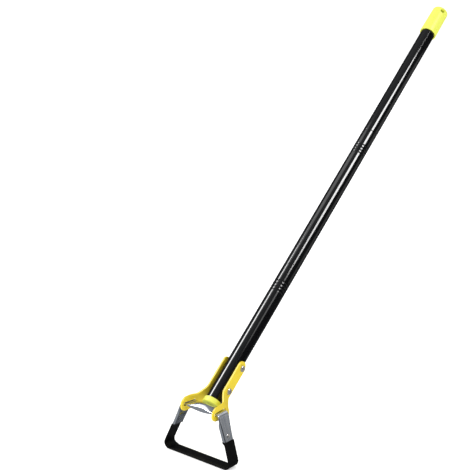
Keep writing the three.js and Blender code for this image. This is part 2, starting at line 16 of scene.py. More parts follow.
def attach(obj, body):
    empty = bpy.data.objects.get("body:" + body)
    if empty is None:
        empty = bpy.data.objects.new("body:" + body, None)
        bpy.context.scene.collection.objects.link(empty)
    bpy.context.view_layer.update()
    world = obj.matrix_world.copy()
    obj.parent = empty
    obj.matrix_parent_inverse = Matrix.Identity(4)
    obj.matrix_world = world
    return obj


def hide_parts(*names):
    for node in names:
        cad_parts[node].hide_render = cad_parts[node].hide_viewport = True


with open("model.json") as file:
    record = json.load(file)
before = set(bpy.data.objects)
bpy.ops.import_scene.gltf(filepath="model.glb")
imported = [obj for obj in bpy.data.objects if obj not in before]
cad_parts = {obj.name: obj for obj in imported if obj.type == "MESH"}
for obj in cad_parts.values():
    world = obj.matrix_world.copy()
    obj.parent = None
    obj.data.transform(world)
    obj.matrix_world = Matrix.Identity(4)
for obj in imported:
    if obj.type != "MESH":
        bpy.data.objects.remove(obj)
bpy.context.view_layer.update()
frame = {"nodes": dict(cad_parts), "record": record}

MM = 0.001
GAP = 0.3

# ------------------------------------------------------------------ handle frame
MOUNTS = {m["name"]: m for m in frame["record"]["mounts"]}
AXIS = Vector(MOUNTS["handle_end"]["axis"]).normalized()
BELOW = Vector((0, AXIS.z, -AXIS.y))
HANDLE_LENGTH = 858.5  # from station zero, beside the bracket's foot, to the end of the cap
FOOT = Vector(MOUNTS["handle_end"]["pos_m"]) - AXIS * HANDLE_LENGTH * MM


def handle_matrix():
    """Millimetres of (across, below the axis, station) to metres in the row frame."""
    turn = Matrix((Vector((1, 0, 0)), BELOW, AXIS)).transposed().to_4x4()
    return Matrix.Translation(FOOT) @ turn @ Matrix.Scale(MM, 4)


HANDLE = handle_matrix()
ROW = Matrix.Scale(MM, 4)


def reach(node):
    """The stations between which a CAD node lies, in millimetres."""
    stations = [(v.co - FOOT).dot(AXIS) / MM for v in frame["nodes"][node].data.vertices]
    return min(stations), max(stations)


def side_place(station, below):
    """Row-frame (y, z) in millimetres of a point given in the handle's side view."""
    place = HANDLE @ Vector((0, below, station)) / MM
    return place.y, place.z


# ------------------------------------------------------------------ dimensions, mm
TUBE_R = 12.5
TUBE_BORE_R = 11.3
CRIMP_COUNT = 4
CRIMP_PITCH = 5.8
CRIMP_BELOW_SEAM = 42
CRIMP_WIDTH = 3.4
CRIMP_DEPTH = 0.6
TUBE_LIP = 0.35
TUBE_LIP_CUT = (0.1, 0.12)  # the lip's middle point: in from the wall, along from the end
GUARD = 0.6  # rings this far from a curve keep the wall's shading straight

INSERT_R = TUBE_BORE_R - GAP
STUD_R = 8
STUD_BORE_R = 3.5
SOCKET_BORE_R = 8.4
SOCKET_BORE_DEPTH = 30
SOCKET_BACK_BORE_R = 6
THREAD_PITCH = 2
THREAD_DEPTH = 0.8
THREAD_STEPS = 8
STUD_LEAD = 1
STUD_RUN_OUT = 2
STUD_FADE = 0.5
INSERT_CHAMFER = 0.3
SOCKET_MOUTH_CHAMFER = 0.8
SOCKET_PLAIN = 2  # left without thread at each end of the bore

CAP_RIM_R = 14.9
CAP_TIP_R = 14.2
CAP_BORE_R = TUBE_R + GAP
CAP_WALL_INSIDE = 2.3
CAP_CAVITY_FROM_END = 14.5
HANG_HOLE_R = 4
HANG_HOLE_FROM_END = 7.6
HANG_HOLE_CLOCK = math.radians(-47)
HANG_HOLE_EDGE_R = 0.35
CAP_TIP_EDGE_R = 2.5
CAP_RIM_EDGE_R = 0.45
CAP_MOUTH_EDGE_R = 0.3
CAP_CAVITY_EDGE_R = 1
FOOT_CAP_R = 13.9
FOOT_CAP_TOP = 3.8
SPIGOT_BORE_R = 9.2
SPIGOT_EDGE_R = 0.5
FOOT_CAP_EDGE_R = 1.3
FOOT_CAP_TOP_EDGE_R = 0.7
FOOT_CAP_SEAT_EDGE_R = 0.25

PLATE_T = 2.5
PLATE_INNER_X = TUBE_R + GAP
FOOT_INNER_X = 26.3
PLATE_HALF_W = 10.2
PLATE_OFFSET = -1
PLATE_TOP = 76.2
FLARE_FROM = 20
FLARE_TO = -8.5
FLARE_PULL = 6
THROAT_R = 5
FOOT_TOP_Z = 88.1
FOOT_FRONT_Y = -19.3
FOOT_FRONT_R = 10.2
FOOT_BOTTOM_Z = (67.3, 65.8)  # at the front and at the heel
FOOT_HEEL_Y = 29
HEEL_R = 7
HEEL_NECK_STATION = 4
HEEL_NECK_R = 6
SLOT_LENGTH = 28.8
SLOT_HEIGHT = 5.8
SLOT_CORNER_R = 2
PLATE_EDGE_R = 0.95
PLATE_GRID = 2.4
BOLT_STATIONS = {"lower": 25, "upper": 66}

BOLT_R = 2.4
BOLT_HEAD_R = 5
BOLT_HEAD_H = 3.4
BOLT_PITCH = 0.8
WASHER_R = 5
WASHER_T = 0.8
NUT_FLATS = 8
NUT_T = 3
BOLT_TAIL = 0.3
BOLT_HEAD_RIM = 0.7
BOLT_HEAD_EDGE = 0.15
BOLT_THREAD_DEPTH = 0.35
BOLT_TIP_CHAMFER = (0.6, 0.5)  # in from the shank, up from the end
WASHER_EDGE_R = 0.15
WASHER_RIM_EDGE_R = 0.3
NUT_CHAMFER = 0.75
NUT_BORE_CHAMFER = (0.3, 0.4)  # out from the bore, in from the face
NUT_EDGE_R = 0.12

STRAP_T = 2.2
STRAP_TOP_Z = 78.5
STRAP_END_Z = 40.3
STRAP_FLAT_HALF_W = 12.1
STRAP_ARM_HALF_W = 10.6
STRAP_ARM_DEPTH = 4.6
STRAP_BEND_R = 8
CROWN_H = 4.6
CROWN_SPAN = 22
CROWN_DROP = 3
CROWN_NARROW = 1.1
CHANNEL_FROM = 40  # distance from the crossbar's middle where the arms' flanges start
CHANNEL_TO = 50
TAPER_TO = 74
ARM_BASE_X = 62.6
ARM_SLOPE = 0.373
LEAN = math.atan(ARM_SLOPE)
STRAP_EDGE_R = 0.7
STRAP_CHANNEL_EDGE_R = 1.1  # added where the arm is a channel
STRAP_CROWN_EDGE_R = 1.6  # added where the crossbar is crowned
STRAP_FLANGE_EDGE_R = 0.4
STRAP_LIP_R = 0.5
STRAP_INNER_R = 0.9
STRAP_LEVELLING = 9  # the sections lean level over this height at the arm's end

BLADE_T = 2.4
BLADE_W = 22.5
BLADE_CORNER_R = 9
BLADE_PROUD = 0.2
BEVEL_W = 5
BEVEL_EDGE_T = 0.7
BEVEL_HALF_LENGTH = 52
BEVEL_FADE = 6
BEVEL_FADE_Z = (1, 3)
BLADE_EDGE_R = 0.28
SHOULDER_R = 1.5
STEP_BELOW_SHOULDER = (4.6, 1.2)  # where the arms' inner side starts and stops stepping in
SHEAR_BELOW_SHOULDER = (16, 26)  # where the sections are level, and square to the arm
TONGUE_W = 14
SHOULDER_Z = 40
TONGUE_TOP_Z = 54
RIVET_Z = 47
RIVET_R = 1.7
RIVET_HEAD_R = 3
RIVET_HEAD_H = 0.9
RIVET_BACK_H = 0.5
RIVET_EDGE = 0.15

ROUND = 112  # segments round the large pieces
SMALL_ROUND = 48
SHARP_ANGLE = math.radians(40)  # edges sharper than this are rounded


# ------------------------------------------------------------------ curves
def fillet(corners, closed=True, step=math.radians(9)):
    """Points through (x, y, radius) corners: straight between them, round at them."""
    count = len(corners)
    points = []
    for i, corner in enumerate(corners):
        at = Vector(corner[:2])
        radius = corner[2] if len(corner) > 2 else 0
        if radius == 0 or (not closed and i in (0, count - 1)):
            points.append(at)
            continue
        into = (at - Vector(corners[i - 1][:2])).normalized()
        out = (Vector(corners[(i + 1) % count][:2]) - at).normalized()
        turn = math.atan2(into.x * out.y - into.y * out.x, into.dot(out))
        start = at - into * radius * math.tan(abs(turn) / 2)
        side = math.copysign(1, turn)
        centre = start + Vector((-into.y, into.x)) * radius * side
        spoke = start - centre
        pieces = max(3, round(abs(turn) / step))
        for k in range(pieces + 1):
            points.append(centre + Matrix.Rotation(turn * k / pieces, 2) @ spoke)
    return [(p.x, p.y) for p in points]


def spaced(low, high, count):
    """count + 1 even values from low to high."""
    return [low + (high - low) * k / count for k in range(count + 1)]


def smoothstep(value, low, high):
    t = min(max((value - low) / (high - low), 0), 1)
    return t * t * (3 - 2 * t)


def walk(points, step):
    """Places (x, y, tangent, distance) along a polyline, no further apart than step."""
    places = []
    travelled = 0
    for a, b in zip(points, points[1:]):
        a, b = Vector(a), Vector(b)
        length = (b - a).length
        count = max(1, math.ceil(length / step))
        for k in range(count):
            places.append((a.lerp(b, k / count), travelled + length * k / count))
        travelled += length
    places.append((Vector(points[-1]), travelled))
    tangents = []
    for i in range(len(places)):
        before, after = places[max(i - 1, 0)][0], places[min(i + 1, len(places) - 1)][0]
        tangents.append((after - before).normalized())
    return [(p, t, d) for (p, d), t in zip(places, tangents)], travelled


# ------------------------------------------------------------------ meshes
def finished(name, vertices, faces, matrix, body, node, looks, smooth=35):
    """An object in the scene that stands for a CAD node and rides on its body."""
    mesh = bpy.data.meshes.new(name)
    mesh.from_pydata([matrix @ Vector(v) for v in vertices], [], faces)
    return dressed(name, mesh, body, node, looks, smooth)


def dressed(name, mesh, body, node, looks, smooth=35):
    """Tidies a mesh, shades it and hangs it on the frame."""
    tidy = bmesh.new()
    tidy.from_mesh(mesh)
    bmesh.ops.remove_doubles(tidy, verts=tidy.verts, dist=1e-6)
    bmesh.ops.dissolve_degenerate(tidy, dist=1e-7, edges=tidy.edges)
    bmesh.ops.recalc_face_normals(tidy, faces=tidy.faces)
    tidy.to_mesh(mesh)
    tidy.free()
    mesh.shade_smooth()
    mesh.set_sharp_from_angle(angle=math.radians(smooth))
    for look in looks:
        mesh.materials.append(look)
    piece = bpy.data.objects.new(name, mesh)
    bpy.context.scene.collection.objects.link(piece)
    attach(piece, body)
    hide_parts(node)
    return piece


def lathe(profile, segments, closed=True, ripple=None):
    """Vertices and faces of (radius, height) points turned about Z."""
    vertices, faces = [], []
    rows = len(profile)
    for i in range(segments):
        angle = 2 * math.pi * i / segments
        for radius, height in profile:
            r = ripple(radius, height, angle) if ripple else radius
            vertices.append((r * math.cos(angle), r * math.sin(angle), height))
    for i in range(segments):
        a, b = i * rows, (i + 1) % segments * rows
        for j in range(rows if closed else rows - 1):
            k = (j + 1) % rows
            faces.append((a + j, b + j, b + k, a + k))
    return vertices, faces


def evaluated_mesh(thing):
    """The mesh of an object with its modifiers applied."""
    graph = bpy.context.evaluated_depsgraph_get()
    return bpy.data.meshes.new_from_object(thing.evaluated_get(graph))


def loose(vertices, faces, matrix):
    """An object for cutting or joining, not yet part of the scene's pieces."""
    mesh = bpy.data.meshes.new("loose")
    mesh.from_pydata([matrix @ Vector(v) for v in vertices], [], faces)
    tidy = bmesh.new()
    tidy.from_mesh(mesh)
    bmesh.ops.remove_doubles(tidy, verts=tidy.verts, dist=1e-7)
    bmesh.ops.recalc_face_normals(tidy, faces=tidy.faces)
    tidy.to_mesh(mesh)
    tidy.free()
    thing = bpy.data.objects.new("loose", mesh)
    bpy.context.scene.collection.objects.link(thing)
    return thing


def combined(base, tool, operation):
    """The mesh left when tool cuts, joins or meets base. Both are used up."""
    modifier = base.modifiers.new("combine", "BOOLEAN")
    modifier.operation = operation
    modifier.solver = "EXACT"
    modifier.object = tool
    mesh = evaluated_mesh(base)
    for thing in (base, tool):
        bpy.data.objects.remove(thing)
    return mesh


def bevelled(piece, width, segments, edge_look=-1):
    """Rounds the piece's sharp edges, with a look of their own if one is given."""
    modifier = piece.modifiers.new("edges", "BEVEL")
    modifier.width = width * MM
    modifier.segments = segments
    modifier.limit_method = "ANGLE"
    modifier.angle_limit = SHARP_ANGLE
    modifier.harden_normals = True
    modifier.material = edge_look
    return piece


# ------------------------------------------------------------------ materials
class Look:
    """A Principled material with its base values, and noise wired into what varies."""

    def __init__(self, name, color, roughness, metallic=0.0):
        self.material = bpy.data.materials.new(name)
        self.material.use_nodes = True
        self.nodes = self.material.node_tree.nodes
        self.links = self.material.node_tree.links
        self.shader = self.nodes["Principled BSDF"]
        self.color = color
        self.roughness = roughness
        self.shader.inputs["Base Color"].default_value = (*color, 1)
        self.shader.inputs["Roughness"].default_value = roughness
        self.shader.inputs["Metallic"].default_value = metallic

    def value(self, socket, number):
        self.shader.inputs[socket].default_value = number
        return self

    def place(self, stretch=(1, 1, 1), turn=(0, 0, 0), attribute=None):
        """Coordinates for a texture: the object's own, or a named attribute's."""
        mapping = self.nodes.new("ShaderNodeMapping")
        mapping.vector_type = "TEXTURE"
        mapping.inputs["Rotation"].default_value = turn
        mapping.inputs["Scale"].default_value = stretch
        if attribute:
            source = self.nodes.new("ShaderNodeAttribute")
            source.attribute_name = attribute
            self.links.new(source.outputs["Vector"], mapping.inputs["Vector"])
        else:
            source = self.nodes.new("ShaderNodeTexCoord")
            self.links.new(source.outputs["Object"], mapping.inputs["Vector"])
        return mapping.outputs["Vector"]

    def noise(self, size, detail=3.0, place=None):
        """Noise whose blobs are about size metres across, from 0 to 1."""
        texture = self.nodes.new("ShaderNodeTexNoise")
        texture.inputs["Scale"].default_value = 1 / size
        texture.inputs["Detail"].default_value = detail
        self.links.new(place or self.place(), texture.inputs["Vector"])
        return texture.outputs["Fac"]

    def window(self, source, low, high, to_low=0.0, to_high=1.0):
        """source between low and high, spread over to_low to to_high."""
        spread = self.nodes.new("ShaderNodeMapRange")
        spread.inputs["From Min"].default_value = low
        spread.inputs["From Max"].default_value = high
        spread.inputs["To Min"].default_value = to_low
        spread.inputs["To Max"].default_value = to_high
        self.links.new(source, spread.inputs["Value"])
        return spread.outputs["Result"]

    def tint(self, mask, color):
        """Mixes another colour into the base where the mask is high."""
        mix = self.nodes.new("ShaderNodeMix")
        mix.data_type = "RGBA"
        base = self.shader.inputs["Base Color"]
        if base.links:
            self.links.new(base.links[0].from_socket, mix.inputs["A"])
        else:
            mix.inputs["A"].default_value = (*self.color, 1)
        mix.inputs["B"].default_value = (*color, 1)
        self.links.new(mask, mix.inputs["Factor"])
        self.links.new(mix.outputs["Result"], base)
        return self

    def rough(self, mask, spread):
        """Roughness that varies by spread round its base value."""
        low, high = self.roughness - spread / 2, self.roughness + spread / 2
        self.links.new(self.window(mask, 0.3, 0.7, low, high), self.shader.inputs["Roughness"])
        return self

    def bump(self, height, distance):
        """A bump whose full height is distance metres, on top of any before it."""
        node = self.nodes.new("ShaderNodeBump")
        node.inputs["Strength"].default_value = 1
        node.inputs["Distance"].default_value = distance
        normal = self.shader.inputs["Normal"]
        if normal.links:
            self.links.new(normal.links[0].from_socket, node.inputs["Normal"])
        self.links.new(height, node.inputs["Height"])
        self.links.new(node.outputs["Normal"], normal)
        return self


HANDLE_TURN = (math.atan2(-AXIS.y, AXIS.z), 0, 0)
UNROLLED = "unrolled"


def black_coat():
    """Glossy black paint: faint orange peel, hazy patches, hair scratches along the tube."""
    look = Look("black_coat", (0.0025, 0.0025, 0.003), 0.1)
    along = look.place(stretch=(1, 1, 40), turn=HANDLE_TURN)
    look.tint(look.window(look.noise(0.03), 0.5, 0.8, 0, 0.5), (0.005, 0.005, 0.006))
    look.tint(look.window(look.noise(0.0006, 2, along), 0.72, 0.8, 0, 0.25), (0.012, 0.012, 0.014))
    look.rough(look.noise(0.02, 4), 0.05)
    look.bump(look.noise(0.004, 2), 0.000004)
    return look.value("Specular IOR Level", 0.5).material


def yellow_coat():
    """Golden yellow powder coat with a fine texture and slightly dirtier patches."""
    look = Look("yellow_coat", (0.86, 0.66, 0.03), 0.36)
    look.tint(look.window(look.noise(0.012, 4), 0.45, 0.75, 0, 0.5), (0.78, 0.56, 0.02))
    look.tint(look.window(look.noise(0.0012, 3), 0.62, 0.8, 0, 0.4), (0.9, 0.74, 0.08))
    look.rough(look.noise(0.006, 4), 0.14)
    look.bump(look.noise(0.0007, 2), 0.00002)
    return look.value("Specular IOR Level", 0.35).material


def yellow_painted_highlight_edge():
    """The same coat, paler on the sheet's rounded edges: a painted highlight along the rims."""
    look = Look("yellow_painted_highlight_edge", (0.98, 0.91, 0.34), 0.3)
    look.tint(look.window(look.noise(0.004, 4), 0.5, 0.75, 0, 0.5), (0.92, 0.8, 0.2))
    look.rough(look.noise(0.004, 3), 0.12)
    look.bump(look.noise(0.0007, 2), 0.00002)
    return look.material


def lemon_plastic():
    """Moulded lemon plastic, lightly grained."""
    look = Look("lemon_plastic", (0.84, 0.88, 0.12), 0.42)
    look.tint(look.window(look.noise(0.01, 3), 0.45, 0.8, 0, 0.5), (0.78, 0.82, 0.085))
    look.rough(look.noise(0.004, 3), 0.12)
    look.bump(look.noise(0.0005, 2), 0.00002)
    return look.value("Specular IOR Level", 0.3).material


def zinc_plate():
    """Bright zinc: rolling streaks along the strap, cloudy patches, small scratches."""
    look = Look("zinc_plate", (0.66, 0.69, 0.74), 0.22, metallic=1.0)
    streaks = look.place(stretch=(14, 1, 1), attribute=UNROLLED)
    look.tint(look.window(look.noise(0.005, 3, streaks), 0.42, 0.68, 0, 0.5), (0.46, 0.5, 0.57))
    look.tint(look.window(look.noise(0.009, 5), 0.55, 0.7, 0, 0.35), (0.76, 0.78, 0.8))
    look.rough(look.noise(0.003, 3, streaks), 0.1)
    look.bump(look.noise(0.004, 1, streaks), 0.000006)
    look.bump(look.noise(0.014, 1), 0.00003)
    return look.material


def blade_black():
    """Satin black finish with a fine grain, faint rub marks along the blade."""
    look = Look("blade_black", (0.0018, 0.0018, 0.002), 0.5)
    streaks = look.place(stretch=(20, 1, 1), attribute=UNROLLED)
    look.tint(look.window(look.noise(0.0012, 3, streaks), 0.62, 0.8, 0, 0.5), (0.009, 0.009, 0.01))
    look.tint(look.window(look.noise(0.008, 4), 0.5, 0.8, 0, 0.6), (0.005, 0.005, 0.0055))
    look.rough(look.noise(0.004, 4), 0.16)
    look.bump(look.noise(0.0005, 2), 0.00003)
    return look.value("Specular IOR Level", 0.14).material


def bright_steel():
    """Plated fasteners, nearly polished, with light wear."""
    look = Look("bright_steel", (0.72, 0.7, 0.69), 0.2, metallic=0.8)
    look.tint(look.window(look.noise(0.0015, 4), 0.55, 0.75, 0, 0.5), (0.62, 0.62, 0.65))
    look.rough(look.noise(0.001, 4), 0.12)
    look.bump(look.noise(0.0008, 3), 0.00001)
    return look.material


def cast_metal():
    """Die-cast inserts: dull, slightly pitted."""
    look = Look("cast_metal", (0.5, 0.51, 0.53), 0.42, metallic=1.0)
    look.tint(look.window(look.noise(0.003, 5), 0.45, 0.7, 0, 0.6), (0.38, 0.39, 0.41))
    look.rough(look.noise(0.001, 4), 0.2)
    look.bump(look.noise(0.0006, 4), 0.00005)
    return look.material


BLACK = black_coat()
YELLOW = yellow_coat()
YELLOW_PAINTED_HIGHLIGHT_EDGE = yellow_painted_highlight_edge()
LEMON = lemon_plastic()
ZINC = zinc_plate()
BLADE = blade_black()
STEEL = bright_steel()
CAST = cast_metal()


# ------------------------------------------------------------------ handle tubes
def crimps(seam):
    """Profile points of the grooves pressed into the tube below a seam."""
    points = []
    for i in range(CRIMP_COUNT):
        centre = seam - CRIMP_BELOW_SEAM + (i - (CRIMP_COUNT - 1) / 2) * CRIMP_PITCH
        for h in spaced(-CRIMP_WIDTH / 2, CRIMP_WIDTH / 2, 12):
            dip = CRIMP_DEPTH * math.cos(math.pi * h / CRIMP_WIDTH) ** 2
            points.append((TUBE_R - dip, centre + h))
    return points


def tube(name, body, seam_above=None):
    low, high = reach(name)
    cut_in, cut_up = TUBE_LIP_CUT
    profile = [(TUBE_BORE_R, high), (TUBE_BORE_R, low), (TUBE_R - TUBE_LIP, low)]
    profile += [(TUBE_R - cut_in, low + cut_up), (TUBE_R, low + TUBE_LIP)]
    profile += [(TUBE_R, low + TUBE_LIP + GUARD)]
    if seam_above:
        grooves = crimps(seam_above)
        profile += [(TUBE_R, grooves[0][1] - GUARD), *grooves, (TUBE_R, grooves[-1][1] + GUARD)]
    profile += [(TUBE_R, high - TUBE_LIP - GUARD), (TUBE_R, high - TUBE_LIP)]
    profile += [(TUBE_R - cut_in, high - cut_up), (TUBE_R - TUBE_LIP, high)]
    vertices, faces = lathe(profile, ROUND)
    return finished(name + "_skin", vertices, faces, HANDLE, body, name, [BLACK])


# ------------------------------------------------------------------ threaded inserts
def thread_wave(depth, pitch):
    """How far a helical thread cuts in at a height and angle."""
    def wave(height, angle):
        turn = (height / pitch - angle / (2 * math.pi)) % 1
        return depth * abs(2 * turn - 1)
    return wave


def stud(name, body):
    low, high = reach(name)
    shoulder = reach(name.replace("stud", "socket"))[1] + GAP
    cut = thread_wave(THREAD_DEPTH, THREAD_PITCH)
    start, end = low + STUD_LEAD, shoulder - STUD_RUN_OUT
    rows = round((end - start) / THREAD_PITCH * THREAD_STEPS)
    profile = [(STUD_BORE_R, high), (STUD_BORE_R, low), (STUD_R - THREAD_DEPTH, low)]
    profile += [(STUD_R, h) for h in spaced(start, end, rows)]
    profile += [(STUD_R - THREAD_DEPTH, end + STUD_FADE), (STUD_R - THREAD_DEPTH, shoulder)]
    profile += [(INSERT_R - INSERT_CHAMFER, shoulder), (INSERT_R, shoulder + INSERT_CHAMFER)]
    profile += [(INSERT_R, high)]

    def ripple(radius, height, angle):
        threaded = radius == STUD_R and start <= height <= end
        return radius - cut(height, angle) if threaded else radius

    vertices, faces = lathe(profile, SMALL_ROUND, ripple=ripple)
    return finished(name + "_skin", vertices, faces, HANDLE, body, name, [CAST], 50)


def socket(name, body):
    low, high = reach(name)
    step = high - SOCKET_BORE_DEPTH
    cut = thread_wave(THREAD_DEPTH / 2, THREAD_PITCH)
    rows = round((SOCKET_BORE_DEPTH - 2 * SOCKET_PLAIN) / THREAD_PITCH * THREAD_STEPS)
    start, end = step + SOCKET_PLAIN, high - SOCKET_PLAIN
    profile = [(SOCKET_BORE_R + SOCKET_MOUTH_CHAMFER, high)]
    profile += [(SOCKET_BORE_R, high - SOCKET_MOUTH_CHAMFER)]
    profile += [(SOCKET_BORE_R, h) for h in spaced(end, start, rows)]
    profile += [(SOCKET_BORE_R, step), (SOCKET_BACK_BORE_R, step), (SOCKET_BACK_BORE_R, low)]
    profile += [(INSERT_R, low), (INSERT_R, high)]

    def ripple(radius, height, angle):
        threaded = radius == SOCKET_BORE_R and start <= height <= end
        return radius + cut(height, angle) if threaded else radius

    vertices, faces = lathe(profile, SMALL_ROUND, ripple=ripple)
    return finished(name + "_skin", vertices, faces, HANDLE, body, name, [CAST], 50)


# ------------------------------------------------------------------ end caps
def top_cap():
    rim, end = reach("top_cap")
    tube_end = reach("top_tube")[1] + GAP
    cavity = end - CAP_CAVITY_FROM_END
    profile = fillet([
        (0, end),
        (CAP_TIP_R, end, CAP_TIP_EDGE_R),
        (CAP_RIM_R, rim, CAP_RIM_EDGE_R),
        (CAP_BORE_R, rim, CAP_MOUTH_EDGE_R),
        (CAP_BORE_R, tube_end),
        (CAP_BORE_R - CAP_WALL_INSIDE, tube_end),
        (CAP_BORE_R - CAP_WALL_INSIDE, cavity, CAP_CAVITY_EDGE_R),
        (0, cavity),
    ], closed=False)
    blank = loose(*lathe(profile, ROUND, closed=False), HANDLE)
    drill = lathe([(0, -3 * CAP_RIM_R), (HANG_HOLE_R, -3 * CAP_RIM_R),
                   (HANG_HOLE_R, 3 * CAP_RIM_R), (0, 3 * CAP_RIM_R)], SMALL_ROUND, closed=False)
    across = Matrix.Rotation(HANG_HOLE_CLOCK, 4, "Z") @ Matrix.Rotation(math.pi / 2, 4, "Y")
    centre = Matrix.Translation((0, 0, end - HANG_HOLE_FROM_END))
    mesh = combined(blank, loose(*drill, HANDLE @ centre @ across), "DIFFERENCE")
    piece = dressed("top_cap_skin", mesh, "top_section", "top_cap", [LEMON])
    return bevelled(piece, HANG_HOLE_EDGE_R, 2)


def bottom_cap():
    low, high = reach("bottom_cap")
    floor = reach("bottom_tube")[0] - GAP
    profile = fillet([
        (0, low),
        (FOOT_CAP_R, low, FOOT_CAP_EDGE_R),
        (FOOT_CAP_R, FOOT_CAP_TOP, FOOT_CAP_TOP_EDGE_R),
        (CAP_BORE_R, FOOT_CAP_TOP, FOOT_CAP_SEAT_EDGE_R),
        (CAP_BORE_R, floor),
        (INSERT_R, floor),
        (INSERT_R, high, SPIGOT_EDGE_R),
        (SPIGOT_BORE_R, high),
        (SPIGOT_BORE_R, floor),
        (0, floor),
    ], closed=False)
    vertices, faces = lathe(profile, ROUND, closed=False)
    return finished("bottom_cap_skin", vertices, faces, HANDLE, "lower_handle", "bottom_cap",
                    [LEMON])


# ------------------------------------------------------------------ bracket plates
def plate_outline():
    """Side view: a straight shank with a round top, turning into the slotted foot."""
    upper, lower = PLATE_OFFSET - PLATE_HALF_W, PLATE_OFFSET + PLATE_HALF_W
    throat = (FOOT_TOP_Z - side_place(0, upper)[1]) / AXIS.z
    end_r = PLATE_HALF_W - 0.01
    return fillet([
        (*side_place(PLATE_TOP, upper), end_r),
        (*side_place(throat, upper), THROAT_R),
        (FOOT_FRONT_Y, FOOT_TOP_Z, FOOT_FRONT_R),
        (FOOT_FRONT_Y, FOOT_BOTTOM_Z[0], FOOT_FRONT_R),
        (FOOT_HEEL_Y, FOOT_BOTTOM_Z[1], HEEL_R),
        (*side_place(HEEL_NECK_STATION, lower), HEEL_NECK_R),
        (*side_place(PLATE_TOP, lower), end_r),
    ], step=math.radians(5))


def slot_outline():
    half = SLOT_LENGTH / 2
    middle = STRAP_TOP_Z - STRAP_T / 2
    low, high = middle - SLOT_HEIGHT / 2, middle + SLOT_HEIGHT / 2
    corners = [(-half, low), (half, low), (half, high), (-half, high)]
    return fillet([(y, z, SLOT_CORNER_R) for y, z in corners], step=math.radians(15))


def bolt_hole(station):
    y, z = side_place(station, 0)
    angles = [2 * math.pi * k / 32 for k in range(32)]
    radius = BOLT_R + GAP
    return [(y + radius * math.cos(t), z + radius * math.sin(t)) for t in angles]


def divided(loop, step):
    """A closed outline with extra points, so that it can follow the sheet's bend."""
    points = []
    for a, b in zip(loop, loop[1:] + loop[:1]):
        count = max(1, math.ceil(math.dist(a, b) / step))
        points += [tuple(Vector(a).lerp(Vector(b), k / count)) for k in range(count)]
    return points


def inside(place, loop):
    """Whether a point lies inside a closed outline."""
    x, y = place
    hits = 0
    for (ax, ay), (bx, by) in zip(loop, loop[1:] + loop[:1]):
        if (ay > y) != (by > y) and x < ax + (y - ay) * (bx - ax) / (by - ay):
            hits += 1
    return hits % 2 == 1


def clearance(place, loop):
    """Distance from a point to the nearest corner of an outline."""
    return min(math.dist(place, corner) for corner in loop)


def sheet_faces(outline, holes, grid):
    """An even triangle net over an outline, open at the holes."""
    points, edges = [], []
    for loop in (outline, *holes):
        first, count = len(points), len(loop)
        points += [Vector(p) for p in loop]
        edges += [(first + k, first + (k + 1) % count) for k in range(count)]
    low = [min(p[k] for p in outline) for k in (0, 1)]
    high = [max(p[k] for p in outline) for k in (0, 1)]
    for i in range(int((high[0] - low[0]) / grid)):
        for j in range(int((high[1] - low[1]) / grid)):
            place = (low[0] + (i + 0.5) * grid, low[1] + (j + 0.5) * grid)
            free = inside(place, outline) and not any(inside(place, h) for h in holes)
            if free and min(clearance(place, h) for h in (outline, *holes)) > grid * 0.6:
                points.append(Vector(place))
    face = list(range(len(outline)))
    net = delaunay_2d_cdt(points, edges, [face], 1, 1e-5)
    places = [tuple(p) for p in net[0]]
    faces = []
    for corners in net[2]:
        middle = [sum(places[c][k] for c in corners) / len(corners) for k in (0, 1)]
        if inside(middle, outline) and not any(inside(middle, h) for h in holes):
            faces.append(corners)
    return places, faces


def flare(station):
    """How far the middle of the plate's sheet stands from the centre plane."""
    near, far = PLATE_INNER_X + PLATE_T / 2, FOOT_INNER_X + PLATE_T / 2
    if station >= FLARE_FROM:
        return near
    if station <= FLARE_TO:
        return far
    low, high = 0.0, 1.0
    for _ in range(30):
        t = (low + high) / 2
        s = ((1 - t) ** 3 * FLARE_FROM + 3 * (1 - t) ** 2 * t * (FLARE_FROM - FLARE_PULL)
             + 3 * (1 - t) * t * t * (FLARE_TO + FLARE_PULL) + t ** 3 * FLARE_TO)
        low, high = (t, high) if s > station else (low, t)
    return near + (far - near) * (3 * t * t - 2 * t ** 3)


def bracket_plate(name, side):
    holes = [slot_outline()] + [bolt_hole(s) for s in BOLT_STATIONS.values()]
    outline = divided(plate_outline(), PLATE_GRID / 2)
    places, faces = sheet_faces(outline, holes, PLATE_GRID)
    vertices = []
    for y, z in places:
        station = (Vector((0, y, z)) * MM - FOOT).dot(AXIS) / MM
        vertices.append((side * flare(station), y, z))
    piece = finished(name + "_skin", vertices, faces, ROW, "lower_handle", name,
                     [YELLOW, YELLOW_PAINTED_HIGHLIGHT_EDGE])
    thick = piece.modifiers.new("sheet", "SOLIDIFY")
    thick.thickness = PLATE_T * MM
    thick.offset = 0
    thick.use_even_offset = True
    # the rounded edges take the second, paler look, a painted highlight
    return bevelled(piece, PLATE_EDGE_R, 4, edge_look=1)


# ------------------------------------------------------------------ bolts, washers, nuts
PLATE_OUTER_X = PLATE_INNER_X + PLATE_T
WASHER_FACE_X = PLATE_OUTER_X + GAP
NUT_FACE_X = WASHER_FACE_X + WASHER_T + GAP
BOLT_END_X = NUT_FACE_X + NUT_T + BOLT_TAIL


def on_bolt(station):
    """The bolt's own frame: its axis is Z, pointing to +X, at a station of the handle."""
    return HANDLE @ Matrix.Translation((0, 0, station)) @ Matrix.Rotation(math.pi / 2, 4, "Y")


